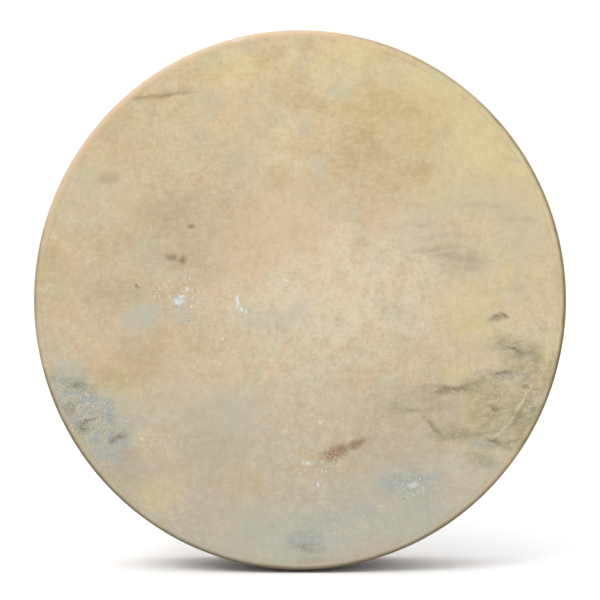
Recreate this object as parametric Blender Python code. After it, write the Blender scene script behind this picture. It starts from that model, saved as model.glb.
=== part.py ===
"""Frame drum: a goatskin head tacked over a bent-wood hoop, which two half-lapped crossbars brace.

The drum stands upright. Its axis is Y, its head faces -Y, and Z is up. Angles run round the hoop
from +X towards +Z. The frame's origin is the middle of the drum.
"""

import math

import bmesh
import bpy
from mathutils import Matrix, Vector

# Whole drum. The bent hoop is a little out of round, so it is taller than it is wide.
drum_width = 0.4508
drum_height = 0.4572
fit_gap = 0.0003

# Shell: one strip of wood, bent round, whose tapered ends lie over each other in a glued scarf
shell_depth = 0.089
shell_wall = 0.0072
bearing_round = 0.003
edge_break = 0.0008
scarf_length = 0.07
scarf_middle = math.radians(30)
glue_line = 0.0003

# Head: a thin skin, turned down over the shell's front edge
skin_thickness = 0.0011
skin_past_tacks = 0.005

# Trim strip over the skin's cut edge
trim_width = 0.016
trim_thickness = 0.0012
trim_end_gap = 0.0006
trim_ends_at_pitch = 19

# Tacks through trim, skin and shell
tack_count = 28
tack_line = 0.029
tack_head_radius = 0.0047
tack_head_height = 0.0022
tack_shank_radius = 0.0007
tack_bite = 0.005

# Crossbars
bar_width = 0.024
bar_thickness = 0.012
bar_corner = 0.003
bar_from_back = 0.016

# Wood screws: four through the shell into the bars' ends, one through the half lap
screw_shank_radius = 0.00175
screw_head_radius = 0.0039
screw_dome = 0.0012
screw_bite = 0.022
screw_tip = 0.003
slot_width = 0.001
slot_depth = 0.0009
lap_head_height = 0.0026
lap_screw_stop = 0.002
washer_radius = 0.006
washer_height = 0.0021
washer_lip = 0.0006

# Clearances and facets
hole_clearance = 0.0003
hole_end_clearance = 0.0005
cutter_margin = 0.01
facets_per_tack = 3
arc_steps = 3
hole_sides = 8
tack_sides = 8
screw_sides = 12
scarf_steps = 6
smooth_angle = math.radians(35)

# Places along the drum's axis and out from the skin's outer face, worked out from the sizes
half_depth = (shell_depth + fit_gap + skin_thickness) / 2
head_face = -half_depth
shell_back = half_depth
shell_front = shell_back - shell_depth
tack_row = shell_front + tack_line
skirt_end = tack_row + skin_past_tacks
shell_out = -(skin_thickness + fit_gap)
shell_in = shell_out - shell_wall
trim_in = fit_gap
trim_out = trim_in + trim_thickness
tack_seat = trim_out + fit_gap
bar_back = shell_back - bar_from_back
bar_front = bar_back - bar_thickness
bar_middle = (bar_back + bar_front) / 2
hoop_facets = tack_count * facets_per_tack
tack_pitch = 2 * math.pi / tack_count
full_turn = [2 * math.pi * step / hoop_facets for step in range(hoop_facets)]


def clear_scene():
    for item in list(bpy.data.objects):
        bpy.data.objects.remove(item, do_unlink=True)


def principled(name, colour, roughness, metallic=0.0):
    material = bpy.data.materials.new(name)
    material.use_nodes = True
    shader = material.node_tree.nodes["Principled BSDF"]
    shader.inputs["Base Color"].default_value = (*colour, 1.0)
    shader.inputs["Roughness"].default_value = roughness
    shader.inputs["Metallic"].default_value = metallic
    return material


def add_object(name, mesh, parent, material=None):
    item = bpy.data.objects.new(name, mesh)
    bpy.context.scene.collection.objects.link(item)
    item.parent = parent
    if material and not mesh.materials:
        mesh.materials.append(material)
    return item


def add_solid(name, bm, parent, material=None):
    """Turn a bmesh into an object whose faces point out and whose round faces are smooth."""
    bmesh.ops.recalc_face_normals(bm, faces=bm.faces)
    mesh = bpy.data.meshes.new(name)
    bm.to_mesh(mesh)
    bm.free()
    mesh.shade_smooth()
    mesh.set_sharp_from_angle(angle=smooth_angle)
    return add_object(name, mesh, parent, material)


def mark_as_cutter(item):
    item.hide_render = True
    item.display_type = "WIRE"
    return item


def cut(item, cutter):
    boolean = item.modifiers.new(cutter.name, "BOOLEAN")
    boolean.operation = "DIFFERENCE"
    boolean.solver = "EXACT"
    boolean.object = cutter


def hoop_normal(angle):
    """Unit vector that points straight out of the hoop's side at an angle."""
    return Vector((math.cos(angle) * drum_height, 0, math.sin(angle) * drum_width)).normalized()


def hoop_point(angle, out, along):
    """Point at an angle round the hoop: out from the skin's outer face, and along the drum's axis."""
    foot = Vector((math.cos(angle) * drum_width / 2, along, math.sin(angle) * drum_height / 2))
    return foot + hoop_normal(angle) * out


def seat_matrix(angle, out, along):
    """Frame on the hoop's side whose Z points straight out of it."""
    turn = hoop_normal(angle).to_track_quat("Z", "Y").to_matrix().to_4x4()
    return Matrix.Translation(hoop_point(angle, out, along)) @ turn


def arc(centre, radius, start, end):
    """Points on an arc in a hoop section, from start to end degrees; 0 is out, 90 is to the back."""
    angles = [math.radians(start + (end - start) * step / arc_steps) for step in range(arc_steps + 1)]
    return [(centre[0] + radius * math.cos(turn), centre[1] + radius * math.sin(turn)) for turn in angles]


def skin_rows(bm, rows, closed):
    """Join neighbouring rows of vertices with faces; a closed row also joins its last to its first."""
    for near, far in zip(rows, rows[1:]):
        count = len(near)
        for here in range(count if closed else count - 1):
            after = (here + 1) % count
            bm.faces.new((near[here], near[after], far[after], far[here]))


def ring_solid(name, section, parent, material=None):
    """A section, given as (out, along) points, carried all the way round the hoop."""
    bm = bmesh.new()
    rows = [[bm.verts.new(hoop_point(angle, *corner)) for angle in full_turn] for corner in section]
    skin_rows(bm, rows + rows[:1], closed=True)
    return add_solid(name, bm, parent, material)


def pan_solid(name, section, parent, material=None):
    """An open section carried round the hoop, with a flat disc over its first and its last ring."""
    bm = bmesh.new()
    rows = [[bm.verts.new(hoop_point(angle, *corner)) for angle in full_turn] for corner in section]
    skin_rows(bm, rows, closed=True)
    bm.faces.new(rows[0])
    bm.faces.new(rows[-1])
    return add_solid(name, bm, parent, material)


def strip_solid(name, stations, parent, material=None):
    """Sections at a list of (angle, section) stations, joined into a strip with closed ends."""
    bm = bmesh.new()
    rows = [[bm.verts.new(hoop_point(angle, *corner)) for corner in section] for angle, section in stations]
    skin_rows(bm, rows, closed=True)
    bm.faces.new(rows[0])
    bm.faces.new(rows[-1])
    return add_solid(name, bm, parent, material)


def turned_rows(bm, profile, sides):
    """Rows of a turned shape about Z; a profile point on the axis becomes a row of one vertex."""
    rows = []
    for radius, height in profile:
        spots = [2 * math.pi * side / sides for side in range(sides)] if radius > 0 else [0]
        rows.append([bm.verts.new((radius * math.cos(t), radius * math.sin(t), height)) for t in spots])
    return rows


def skin_turned(bm, rows):
    for near, far in zip(rows, rows[1:]):
        count = max(len(near), len(far))
        for here in range(count):
            after = (here + 1) % count
            near_side = [near[here % len(near)], near[after % len(near)]]
            far_side = [far[after % len(far)], far[here % len(far)]]
            bm.faces.new(list(dict.fromkeys(near_side + far_side)))


def turned_solid(name, profile, sides, parent, material=None, ring=False):
    """A profile of (radius, height) points turned about Z: from pole to pole, or round as a ring."""
    bm = bmesh.new()
    rows = turned_rows(bm, profile, sides)
    skin_turned(bm, rows + rows[:1] if ring else rows)
    return add_solid(name, bm, parent, material)


def box_solid(name, low, high, parent, material=None):
    bm = bmesh.new()
    bmesh.ops.create_cube(bm, size=1)
    for vert in bm.verts:
        vert.co = Vector(high[i] if vert.co[i] > 0 else low[i] for i in range(3))
    return add_solid(name, bm, parent, material)


def hole_solids(name, places, radius, reach_in, reach_out, parent):
    """One cutter of round pins, each along the Z of its own matrix, that is never inside its radius."""
    bm = bmesh.new()
    corner_radius = radius / math.cos(math.pi / hole_sides)
    side = [(corner_radius, -reach_in), (corner_radius, reach_out)]
    for place in places:
        rows = turned_rows(bm, [(0, -reach_in), *side, (0, reach_out)], hole_sides)
        skin_turned(bm, rows)
        bmesh.ops.transform(bm, matrix=place, verts=[vert for row in rows for vert in row])
    return mark_as_cutter(add_solid(name, bm, parent))


def tack_angles():
    """Half a pitch off the X axis, so that the row is the same left and right, and up and down."""
    return [(step + 0.5) * tack_pitch for step in range(tack_count)]


def bearing_edge(extra):
    """Arc round the shell's front outer corner, from its front to its side, extra off the wood."""
    centre = (shell_out - bearing_round, shell_front + bearing_round)
    return arc(centre, bearing_round + extra, -90, 0)


def add_shell(parent, material, tack_holes, screw_holes):
    inner_front = [(shell_in, shell_front + edge_break), (shell_in + edge_break, shell_front)]
    outer_back = [(shell_out, shell_back - edge_break), (shell_out - edge_break, shell_back)]
    inner_back = [(shell_in + edge_break, shell_back), (shell_in, shell_back - edge_break)]
    section = inner_front + bearing_edge(0) + outer_back + inner_back
    shell = ring_solid("shell", section, parent, material)
    cut(shell, add_scarf_cutter(parent))
    cut(shell, tack_holes)
    cut(shell, screw_holes)


def add_scarf_cutter(parent):
    """The glue line: a thin slab that runs from outside the wall to inside it along the hoop."""
    span = scarf_length / (drum_width / 2)
    slope = shell_wall / span
    overrun = cutter_margin / (drum_width / 2)
    stations = []
    for step in range(scarf_steps + 1):
        offset = -span / 2 - overrun + (span + 2 * overrun) * step / scarf_steps
        out = (shell_out + shell_in) / 2 - slope * offset
        front = shell_front - cutter_margin
        back = shell_back + cutter_margin
        corners = [(out, front), (out + glue_line, front), (out + glue_line, back), (out, back)]
        stations.append((scarf_middle + offset, corners))
    return mark_as_cutter(strip_solid("scarf_cutter", stations, parent))


def add_head(parent, material, tack_holes):
    outside = bearing_edge(fit_gap + skin_thickness) + [(0, skirt_end)]
    inside = [(-skin_thickness, skirt_end)] + bearing_edge(fit_gap)[::-1]
    cut(pan_solid("head", outside + inside, parent, material), tack_holes)


def add_trim(parent, material, tack_holes):
    front = tack_row - trim_width / 2
    back = tack_row + trim_width / 2
    section = [(trim_in, front), (trim_out, front), (trim_out, back), (trim_in, back)]
    meeting = trim_ends_at_pitch * tack_pitch
    half_gap = trim_end_gap / drum_width
    inner_angles = [meeting + 2 * math.pi * step / hoop_facets for step in range(1, hoop_facets)]
    angles = [meeting + half_gap] + inner_angles + [meeting + 2 * math.pi - half_gap]
    trim = strip_solid("trim_strip", [(angle, section) for angle in angles], parent, material)
    cut(trim, tack_holes)


def add_tacks(parent, material):
    """Domed tacks that share one mesh. Their length is what they pass through plus their bite."""
    shank_end = -(tack_seat - shell_out + tack_bite)
    rim = tack_head_height * 0.2
    profile = [
        (0, tack_head_height),
        (tack_head_radius * 0.5, tack_head_height * 0.88),
        (tack_head_radius * 0.86, tack_head_height * 0.52),
        (tack_head_radius, rim),
        (tack_head_radius, 0),
        (tack_shank_radius, 0),
        (tack_shank_radius, shank_end * 0.7),
        (0, shank_end),
    ]
    first = turned_solid("tack_01", profile, tack_sides, parent, material)
    for number, angle in enumerate(tack_angles(), start=1):
        tack = first if number == 1 else add_object(f"tack_{number:02d}", first.data, parent)
        tack.matrix_world = seat_matrix(angle, tack_seat, tack_row)


def rounded_section(width, thickness, corner):
    """A rectangle across X and Y with round corners, as points in order round it."""
    points = []
    for start, side_x, side_y in ((0, 1, 1), (90, -1, 1), (180, -1, -1), (270, 1, -1)):
        centre = (side_x * (width / 2 - corner), side_y * (thickness / 2 - corner))
        points += arc(centre, corner, start, start + 90)
    return points


def add_crossbar(name, turn, length, parent, material):
    """A bar along Z with round long edges, turned about the drum's axis and centred on it."""
    bm = bmesh.new()
    section = rounded_section(bar_width, bar_thickness, bar_corner)
    rows = [[bm.verts.new((x, y, end * length / 2)) for x, y in section] for end in (-1, 1)]
    skin_rows(bm, rows, closed=True)
    bm.faces.new(rows[0])
    bm.faces.new(rows[1])
    bar = add_solid(name, bm, parent, material)
    bar.matrix_world = Matrix.Translation((0, bar_middle, 0)) @ Matrix.Rotation(turn, 4, "Y")
    return bar


def add_crossbars(parent, material, end_holes):
    """Two bars whose ends follow the shell's inside and whose middles are halved into each other."""
    upright = add_crossbar("upright_crossbar", 0, drum_height, parent, material)
    level = add_crossbar("level_crossbar", math.pi / 2, drum_width, parent, material)

    front = shell_front - cutter_margin
    back = shell_back + cutter_margin
    limit = shell_in - fit_gap
    wall = [(limit, front), (cutter_margin, front), (cutter_margin, back), (limit, back)]
    shell_space = mark_as_cutter(ring_solid("shell_space_cutter", wall, parent))

    lap_half = bar_width / 2 + fit_gap
    lap_reach = bar_width
    lap_face = fit_gap / 2
    low = (-lap_reach, bar_middle - lap_face, -lap_half)
    high = (lap_reach, bar_back + cutter_margin, lap_half)
    upright_lap = mark_as_cutter(box_solid("upright_lap_cutter", low, high, parent))
    low = (-lap_half, bar_front - cutter_margin, -lap_reach)
    high = (lap_half, bar_middle + lap_face, lap_reach)
    level_lap = mark_as_cutter(box_solid("level_lap_cutter", low, high, parent))

    lap_hole = hole_solids(
        "lap_screw_hole_cutter",
        [lap_screw_matrix()],
        screw_shank_radius + hole_clearance,
        lap_screw_length() + hole_end_clearance,
        cutter_margin,
        parent,
    )
    for bar, lap in ((upright, upright_lap), (level, level_lap)):
        cut(bar, shell_space)
        cut(bar, lap)
        cut(bar, end_holes)
        cut(bar, lap_hole)


def lap_screw_matrix():
    """On the back of the half lap; its Z points out of the drum's back."""
    turn = Matrix.Rotation(-math.pi / 2, 4, "X")
    return Matrix.Translation((0, bar_back + fit_gap, 0)) @ turn


def lap_screw_length():
    return fit_gap + bar_thickness - lap_screw_stop


def end_screw_angles():
    return [math.pi / 2 * quarter for quarter in range(4)]


def end_screw_length():
    """From the washer's seat, through the wall and the gap, to the end of the bite in the bar."""
    return fit_gap + shell_wall + fit_gap + screw_bite


def cut_slot(screw, reach, top, turn, parent):
    """A straight slot across a screw's head, turned by its own angle about the screw."""
    low = (-reach, -slot_width / 2, top - slot_depth)
    high = (reach, slot_width / 2, top + cutter_margin)
    slot = mark_as_cutter(box_solid(screw.name + "_slot_cutter", low, high, parent))
    slot.matrix_world = screw.matrix_world @ Matrix.Rotation(turn, 4, "Z")
    cut(screw, slot)


def add_end_screws(parent, material):
    """Raised countersunk screws. Each head's cone ends a foot above the seat, in a cup washer."""
    cone = screw_head_radius - screw_shank_radius
    foot = max(0, washer_height - cone)
    rim = foot + cone
    top = rim + screw_dome
    end = -end_screw_length()
    screw_profile = [
        (0, top),
        (screw_head_radius * 0.6, rim + screw_dome * 0.7),
        (screw_head_radius, rim),
        (screw_shank_radius, foot),
        (screw_shank_radius, end + screw_tip),
        (0, end),
    ]
    hole = screw_shank_radius + fit_gap * math.sqrt(2)
    lip = hole + washer_height - foot
    base = max(washer_radius, lip + washer_lip)
    straight_hole = [(hole, foot)] if foot > 0 else []
    washer_profile = [(hole, 0)] + straight_hole + [
        (lip, washer_height),
        (lip + washer_lip, washer_height),
        (base - washer_lip / 2, washer_height / 2),
        (base, washer_height * 0.2),
        (base, 0),
    ]
    for number, angle in enumerate(end_screw_angles(), start=1):
        seat = seat_matrix(angle, shell_out + fit_gap, bar_middle)
        name = f"cup_washer_{number}"
        washer = turned_solid(name, washer_profile, screw_sides, parent, material, ring=True)
        washer.matrix_world = seat
        screw = turned_solid(f"end_screw_{number}", screw_profile, screw_sides, parent, material)
        screw.matrix_world = seat
        cut_slot(screw, screw_head_radius * 2, top, number, parent)


def add_lap_screw(parent, material):
    """A round-head screw from the back, through the level bar and into the upright one."""
    end = -lap_screw_length()
    profile = [
        (0, lap_head_height),
        (screw_head_radius * 0.55, lap_head_height * 0.85),
        (screw_head_radius * 0.9, lap_head_height * 0.5),
        (screw_head_radius, 0),
        (screw_shank_radius, 0),
        (screw_shank_radius, end + screw_tip),
        (0, end),
    ]
    screw = turned_solid("lap_screw", profile, screw_sides, parent, material)
    screw.matrix_world = lap_screw_matrix()
    cut_slot(screw, screw_head_radius * 2, lap_head_height, math.radians(20), parent)


def build():
    clear_scene()
    drum = bpy.data.objects.new("frame_drum", None)
    bpy.context.scene.collection.objects.link(drum)

    ash = principled("steam_bent_ash", (0.58, 0.40, 0.22), 0.45)
    beech = principled("beech", (0.62, 0.42, 0.25), 0.5)
    goatskin = principled("goatskin", (0.61, 0.49, 0.33), 0.6)
    hide = principled("brown_leather", (0.11, 0.055, 0.03), 0.6)
    brass = principled("brass", (0.62, 0.43, 0.18), 0.3, metallic=1.0)

    tack_holes = hole_solids(
        "tack_hole_cutter",
        [seat_matrix(angle, tack_seat, tack_row) for angle in tack_angles()],
        tack_shank_radius + hole_clearance,
        tack_seat - shell_out + tack_bite + hole_end_clearance,
        cutter_margin,
        drum,
    )
    screw_holes = hole_solids(
        "end_screw_hole_cutter",
        [seat_matrix(angle, shell_out + fit_gap, bar_middle) for angle in end_screw_angles()],
        screw_shank_radius + hole_clearance,
        end_screw_length() + hole_end_clearance,
        cutter_margin,
        drum,
    )

    add_shell(drum, ash, tack_holes, screw_holes)
    add_head(drum, goatskin, tack_holes)
    add_trim(drum, hide, tack_holes)
    add_tacks(drum, brass)
    add_crossbars(drum, beech, screw_holes)
    add_end_screws(drum, brass)
    add_lap_screw(drum, brass)


build()
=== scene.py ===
"""Frame drum: a goatskin head tacked over a bent-ash hoop, which two half-lapped crossbars brace.

The drum stands upright. Its axis is Y, its head faces -Y, and Z is up. Lengths are in metres unless a
comment says millimetres. Angles run round the hoop from +X towards +Z.
"""

import math
import random

import bmesh
import bpy
import numpy as np
from mathutils import Matrix, Vector, noise


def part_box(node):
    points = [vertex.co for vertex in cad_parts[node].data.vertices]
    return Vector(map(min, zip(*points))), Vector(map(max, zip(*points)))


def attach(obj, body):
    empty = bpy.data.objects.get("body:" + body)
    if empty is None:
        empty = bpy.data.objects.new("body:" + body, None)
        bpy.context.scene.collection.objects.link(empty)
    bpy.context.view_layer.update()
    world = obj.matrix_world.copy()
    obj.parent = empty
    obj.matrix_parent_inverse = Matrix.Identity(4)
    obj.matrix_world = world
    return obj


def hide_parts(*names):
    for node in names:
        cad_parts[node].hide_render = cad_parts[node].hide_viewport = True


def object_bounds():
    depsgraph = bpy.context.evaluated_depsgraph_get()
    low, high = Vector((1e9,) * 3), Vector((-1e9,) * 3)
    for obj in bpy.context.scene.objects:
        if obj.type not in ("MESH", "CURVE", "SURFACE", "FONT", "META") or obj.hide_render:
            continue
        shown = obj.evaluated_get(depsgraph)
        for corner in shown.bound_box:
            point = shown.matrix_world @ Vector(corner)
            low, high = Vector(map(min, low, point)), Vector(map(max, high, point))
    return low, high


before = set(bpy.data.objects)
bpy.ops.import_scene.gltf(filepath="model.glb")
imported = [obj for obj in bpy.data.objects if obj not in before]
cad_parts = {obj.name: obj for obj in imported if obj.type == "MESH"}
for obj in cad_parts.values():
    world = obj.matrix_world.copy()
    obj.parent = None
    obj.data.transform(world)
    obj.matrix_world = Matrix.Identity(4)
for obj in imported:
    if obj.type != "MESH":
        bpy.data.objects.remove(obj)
cad_low, cad_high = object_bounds()


# Camera: a long still-life lens, square on to the middle of the head. It stands close enough for the
# tacks' domes to stay behind the rim, as they do for a player who looks straight at the skin.
head_low, head_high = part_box("head")
half_width = head_high.x
half_height = head_high.z
head_face = head_low.y
camera_distance = 1.3
sensor_width = 36.0
room_round_drum = 1.1087


def add_object(name, data):
    """Put an object with this mesh, lamp or camera into the scene."""
    thing = bpy.data.objects.new(name, data)
    bpy.context.scene.collection.objects.link(thing)
    return thing


camera_data = bpy.data.cameras.new("still_life_camera")
camera_data.sensor_width = sensor_width
camera_data.lens = sensor_width * camera_distance / (2 * half_height * room_round_drum)
camera = add_object("still_life_camera", camera_data)
camera.location = (0, head_face - camera_distance, 0)
camera.rotation_euler = (math.radians(90), 0, 0)
bpy.context.scene.camera = camera


# Studio: a white room, brighter above than below, one large soft lamp up to the left, and a plain
# pale floor under the rim. Standard colours keep the skin's pale tans as they are.
bpy.context.scene.view_settings.view_transform = "Standard"
sky_strength = 1.0
sky_top = (1.2, 1.205, 1.225)
sky_bottom = (0.34, 0.33, 0.31)
lamp_place = Vector((-1.5, -1.9, 2.3))
lamp_size = 2.0
lamp_power = 50.0
lamp_colour = (1.0, 0.985, 0.95)
floor_size = 14.0
floor_seen = (0.95, 0.95, 0.945)
floor_bounce = (0.3, 0.295, 0.285)


class Shade:
    """One socket of a node tree. Sums and products of these add the nodes that work them out."""

    def __init__(self, tree, socket=None):
        self.tree = tree
        self.socket = socket

    def new(self, kind, settings=(), inputs=(), output=0):
        """Add a node: its settings first, then a value or a link for each input that is given."""
        node = self.tree.nodes.new("ShaderNode" + kind)
        for name, value in dict(settings).items():
            setattr(node, name, value)
        for name, value in dict(inputs).items():
            if isinstance(value, Shade):
                self.tree.links.new(value.socket, node.inputs[name])
            else:
                node.inputs[name].default_value = value
        return Shade(self.tree, node.outputs[output])

    def math(self, operation, *others):
        return self.new("Math", {"operation": operation}, enumerate([self, *others]))

    def __add__(self, other):
        return self.math("ADD", other)

    def __sub__(self, other):
        return self.math("SUBTRACT", other)

    def __rsub__(self, other):
        return self.new("Math", {"operation": "SUBTRACT"}, enumerate([other, self]))

    def __mul__(self, other):
        return self.math("MULTIPLY", other)

    __radd__ = __add__
    __rmul__ = __mul__

    def step(self, low, high, start=0.0, end=1.0):
        """Smooth rise from start, where this is at low, to end, where it is at high."""
        span = {"Value": self, "From Min": low, "From Max": high, "To Min": start, "To Max": end}
        return self.new("MapRange", {"interpolation_type": "SMOOTHSTEP"}, span)

    def vector(self, operation, *others, output=0):
        return self.new("VectorMath", {"operation": operation}, enumerate([self, *others]), output)

    def axis(self, name):
        """The X, Y or Z part of this."""
        return self.new("SeparateXYZ", inputs={0: self}, output=name)

    def field(self, name, output="Fac"):
        """What the mesh's points carry under a name."""
        return self.new("Attribute", {"attribute_name": name}, output=output)

    def speckle(self, scale, detail=2.0, roughness=0.5, output=0):
        """Noise over this: about 0.5, between 0 and 1. Three scales in a tuple are one for each axis."""
        if isinstance(scale, tuple):
            return self.vector("MULTIPLY", scale).speckle(1.0, detail, roughness, output)
        look = {"Vector": self, "Scale": scale, "Detail": detail, "Roughness": roughness}
        return self.new("TexNoise", inputs=look, output=output)

    def plain(self, red, green, blue):
        """One colour all over, for others to be mixed into."""
        colour = self.new("RGB")
        colour.socket.default_value = (red, green, blue, 1.0)
        return colour

    def dye(self, amount, colour):
        """This colour with another one mixed into it, as far as amount says."""
        return self.new("Mix", {"data_type": "RGBA"}, {0: amount, 6: self, 7: (*colour, 1.0)}, 2)

    def bump(self, strength, depth):
        """The surface's normal, from this as its height and a depth in metres."""
        look = {"Strength": strength, "Distance": depth, "Height": self}
        return self.new("Bump", inputs=look, output="Normal")


def start_material(name):
    """A material with its node tree as a Shade, and a call that wires the Principled shader's sockets."""
    material = bpy.data.materials.new(name)
    material.use_nodes = True
    tree = material.node_tree
    shader = tree.nodes["Principled BSDF"]

    def wire(**sockets):
        for title, value in sockets.items():
            socket = shader.inputs[title.replace("_", " ")]
            if isinstance(value, Shade):
                tree.links.new(value.socket, socket)
            else:
                socket.default_value = value

    return material, Shade(tree), wire


world = bpy.data.worlds.new("white_room")
world.use_nodes = True
bpy.context.scene.world = world
room = Shade(world.node_tree)
ray_height = room.new("TexCoord", output="Generated").axis("Z")
room_light = room.plain(*sky_bottom).dye(ray_height.step(-0.5, 0.5), sky_top)
room_light = room_light.dye(room.new("LightPath", output="Is Camera Ray"), (1.0, 1.0, 1.0))
background = world.node_tree.nodes["Background"]
world.node_tree.links.new(room_light.socket, background.inputs["Color"])
background.inputs["Strength"].default_value = sky_strength

lamp_data = bpy.data.lights.new("soft_lamp", "AREA")
lamp_data.shape = "DISK"
lamp_data.size = lamp_size
lamp_data.energy = lamp_power
lamp_data.color = lamp_colour
lamp = add_object("soft_lamp", lamp_data)
lamp.location = lamp_place
lamp.rotation_euler = (-lamp_place).to_track_quat("-Z", "Y").to_euler()

floor_mesh = bpy.data.meshes.new("floor")
reach = floor_size / 2
corners = [(x * reach, y * reach, cad_low.z) for x, y in ((-1, -1), (1, -1), (1, 1), (-1, 1))]
floor_mesh.from_pydata(corners, [], [(0, 1, 2, 3)])
floor_material, floor_paint, wire = start_material("pale_floor")
seen = floor_paint.new("LightPath", output="Is Camera Ray")
wire(Base_Color=floor_paint.plain(*floor_bounce).dye(seen, floor_seen), Roughness=0.9)
floor_mesh.materials.append(floor_material)
floor = add_object("floor", floor_mesh)


# Shell: one long board of ash, planed thin, steamed and bent into a hoop. Its ends are tapered and
# glued over each other in a scarf. The front outer corner is rounded for the skin, and all is oiled.
shell_low, shell_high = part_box("shell")
shell_out = shell_high.x - half_width
shell_wall = 0.0072
shell_in = shell_out - shell_wall
shell_front = shell_low.y
shell_back = shell_high.y
bearing_round = 0.003
edge_break = 0.0008
scarf_length = 0.07
scarf_middle = math.radians(30)
glue_film = 0.00012
feather_edge = 0.0004
planing_wave = 0.0002
shell_stations = 360


def hoop_normal(angle):
    """Unit vector straight out of the hoop's side."""
    return Vector((math.cos(angle) * half_height, 0, math.sin(angle) * half_width)).normalized()


def hoop_point(angle, out, along):
    """Point round the hoop: out from the skin's outer face, and along the drum's axis."""
    foot = Vector((math.cos(angle) * half_width, along, math.sin(angle) * half_height))
    return foot + hoop_normal(angle) * out


def add_piece(name, rows, material, node, loop=False, fields=(), sharp=40):
    """One closed piece from rows of points, each row a ring; it stands for one CAD node.

    Rows join to their neighbours, and to each other all round when they loop. Ends are closed.
    """
    count = len(rows[0])
    points = [point for row in rows for point in row]
    faces = []
    for near in range(len(rows) if loop else len(rows) - 1):
        far = (near + 1) % len(rows)
        for here in range(count):
            after = (here + 1) % count
            ring = (near * count + here, near * count + after, far * count + after, far * count + here)
            faces.append(ring)
    if not loop:
        faces.append(tuple(range(count)))
        faces.append(tuple(range(len(points) - count, len(points))))
    mesh = bpy.data.meshes.new(name)
    mesh.from_pydata(points, [], faces)
    for title, values in dict(fields).items():
        threefold = hasattr(values[0], "__len__")
        layer = mesh.attributes.new(title, "FLOAT_VECTOR" if threefold else "FLOAT", "POINT")
        flat = [part for value in values for part in value] if threefold else values
        layer.data.foreach_set("vector" if threefold else "value", flat)
    bm = bmesh.new()
    bm.from_mesh(mesh)
    bmesh.ops.remove_doubles(bm, verts=bm.verts, dist=1e-6)
    bmesh.ops.recalc_face_normals(bm, faces=bm.faces)
    bm.to_mesh(mesh)
    bm.free()
    mesh.shade_smooth()
    mesh.set_sharp_from_angle(angle=math.radians(sharp))
    mesh.materials.append(material)
    piece = add_object(name, mesh)
    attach(piece, "root")
    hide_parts(node)
    return piece


def arc(centre, radius, start, end, steps):
    """Points on an arc in a hoop section, from start to end degrees; 0 is out, 90 is to the back."""
    turns = [math.radians(start + (end - start) * step / steps) for step in range(steps + 1)]
    return [(centre[0] + radius * math.cos(turn), centre[1] + radius * math.sin(turn)) for turn in turns]


def front_of(out):
    """How far forward the shell's wood reaches at a distance out, with its rounded bearing edge."""
    past = out - (shell_out - bearing_round)
    return shell_front + (bearing_round - math.sqrt(bearing_round**2 - past**2) if past > 0 else 0)


def shell_section(low, high):
    """The shell's section, in order round it, between two distances out from the skin's face."""
    bevel = edge_break * 0.3
    bearing = arc((shell_out - bearing_round, shell_front + bearing_round), bearing_round, -90, 0, 8)
    side = [shell_front + (shell_back - shell_front) * step / 12 for step in range(1, 12)]
    section = bearing + [(shell_out, along) for along in side if along > shell_front + bearing_round]
    section += [(shell_out, shell_back - edge_break), (shell_out - bevel, shell_back - bevel)]
    section += [(shell_out - edge_break, shell_back), (shell_in + edge_break, shell_back)]
    section += [(shell_in + bevel, shell_back - bevel), (shell_in, shell_back - edge_break)]
    section += [(shell_in, along) for along in reversed(side)]
    section += [(shell_in, shell_front + edge_break), (shell_in + edge_break, shell_front)]
    clipped = []
    for out, along in section:
        out = min(max(out, low), high)
        back = shell_back - max(0, out - (shell_out - edge_break))
        clipped.append((out, min(max(along, front_of(out)), back)))
    return clipped


scarf_span = scarf_length / half_width
scarf_start = scarf_middle - scarf_span / 2
scarf_tip = feather_edge / shell_wall * scarf_span
board_turn = 2 * math.pi + scarf_span
shell_rows = []
shell_grain = []
for station in range(shell_stations + 1):
    turn = scarf_tip + (board_turn - 2 * scarf_tip) * station / shell_stations
    angle = scarf_start + turn
    low = shell_out - shell_wall * min(1, turn / scarf_span) + (glue_film if turn < scarf_span else 0)
    high = shell_out - shell_wall * max(0, (turn - 2 * math.pi) / scarf_span)
    wave = planing_wave * noise.noise(Vector((6 * math.cos(angle), 6 * math.sin(angle), 3)))
    row = []
    for out, along in shell_section(max(low, shell_in), min(high, shell_out)):
        shell_grain.append((turn * half_width, along, out))
        row.append(hoop_point(angle, out + (wave if out < shell_out - bearing_round else 0), along))
    shell_rows.append(row)

ash, wood, wire = start_material("steam_bent_ash")
board = wood.field("grain", "Vector")
sway = board.speckle((3.0, 18.0, 40.0), 3.0, 0.55)
tone = board.speckle((2.2, 9.0, 30.0))
ring = (board.vector("DOT_PRODUCT", (0.6, 300.0, 520.0), output="Value") + sway * 9.0).math("FRACT")
early_wood = ring.step(0.0, 0.16) * ring.step(0.75, 0.2)
pores = board.speckle((150.0, 4200.0, 4200.0)).step(0.53, 0.66) * (early_wood * 0.8 + 0.2)
fibres = board.speckle((60.0, 2400.0, 2400.0), 3.0, 0.6)
grime = board.speckle((9.0, 30.0, 30.0), 5.0, 0.6).step(0.5, 0.72)
ash_colour = (
    wood.plain(0.56, 0.385, 0.205)
    .dye(tone.step(0.3, 0.7), (0.66, 0.475, 0.275))
    .dye(early_wood * 0.55, (0.38, 0.225, 0.1))
    .dye(fibres.step(0.35, 0.75) * 0.3, (0.44, 0.28, 0.13))
    .dye(pores * 0.75, (0.17, 0.09, 0.035))
    .dye(grime * 0.25, (0.2, 0.125, 0.06))
)
ash_bump = (fibres * 0.35 - pores * 0.8 - early_wood * 0.25).bump(0.6, 0.00012)
wire(Base_Color=ash_colour, Roughness=fibres * 0.16 + grime * 0.12 + 0.38, Normal=ash_bump, Coat_Weight=0.12)
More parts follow.
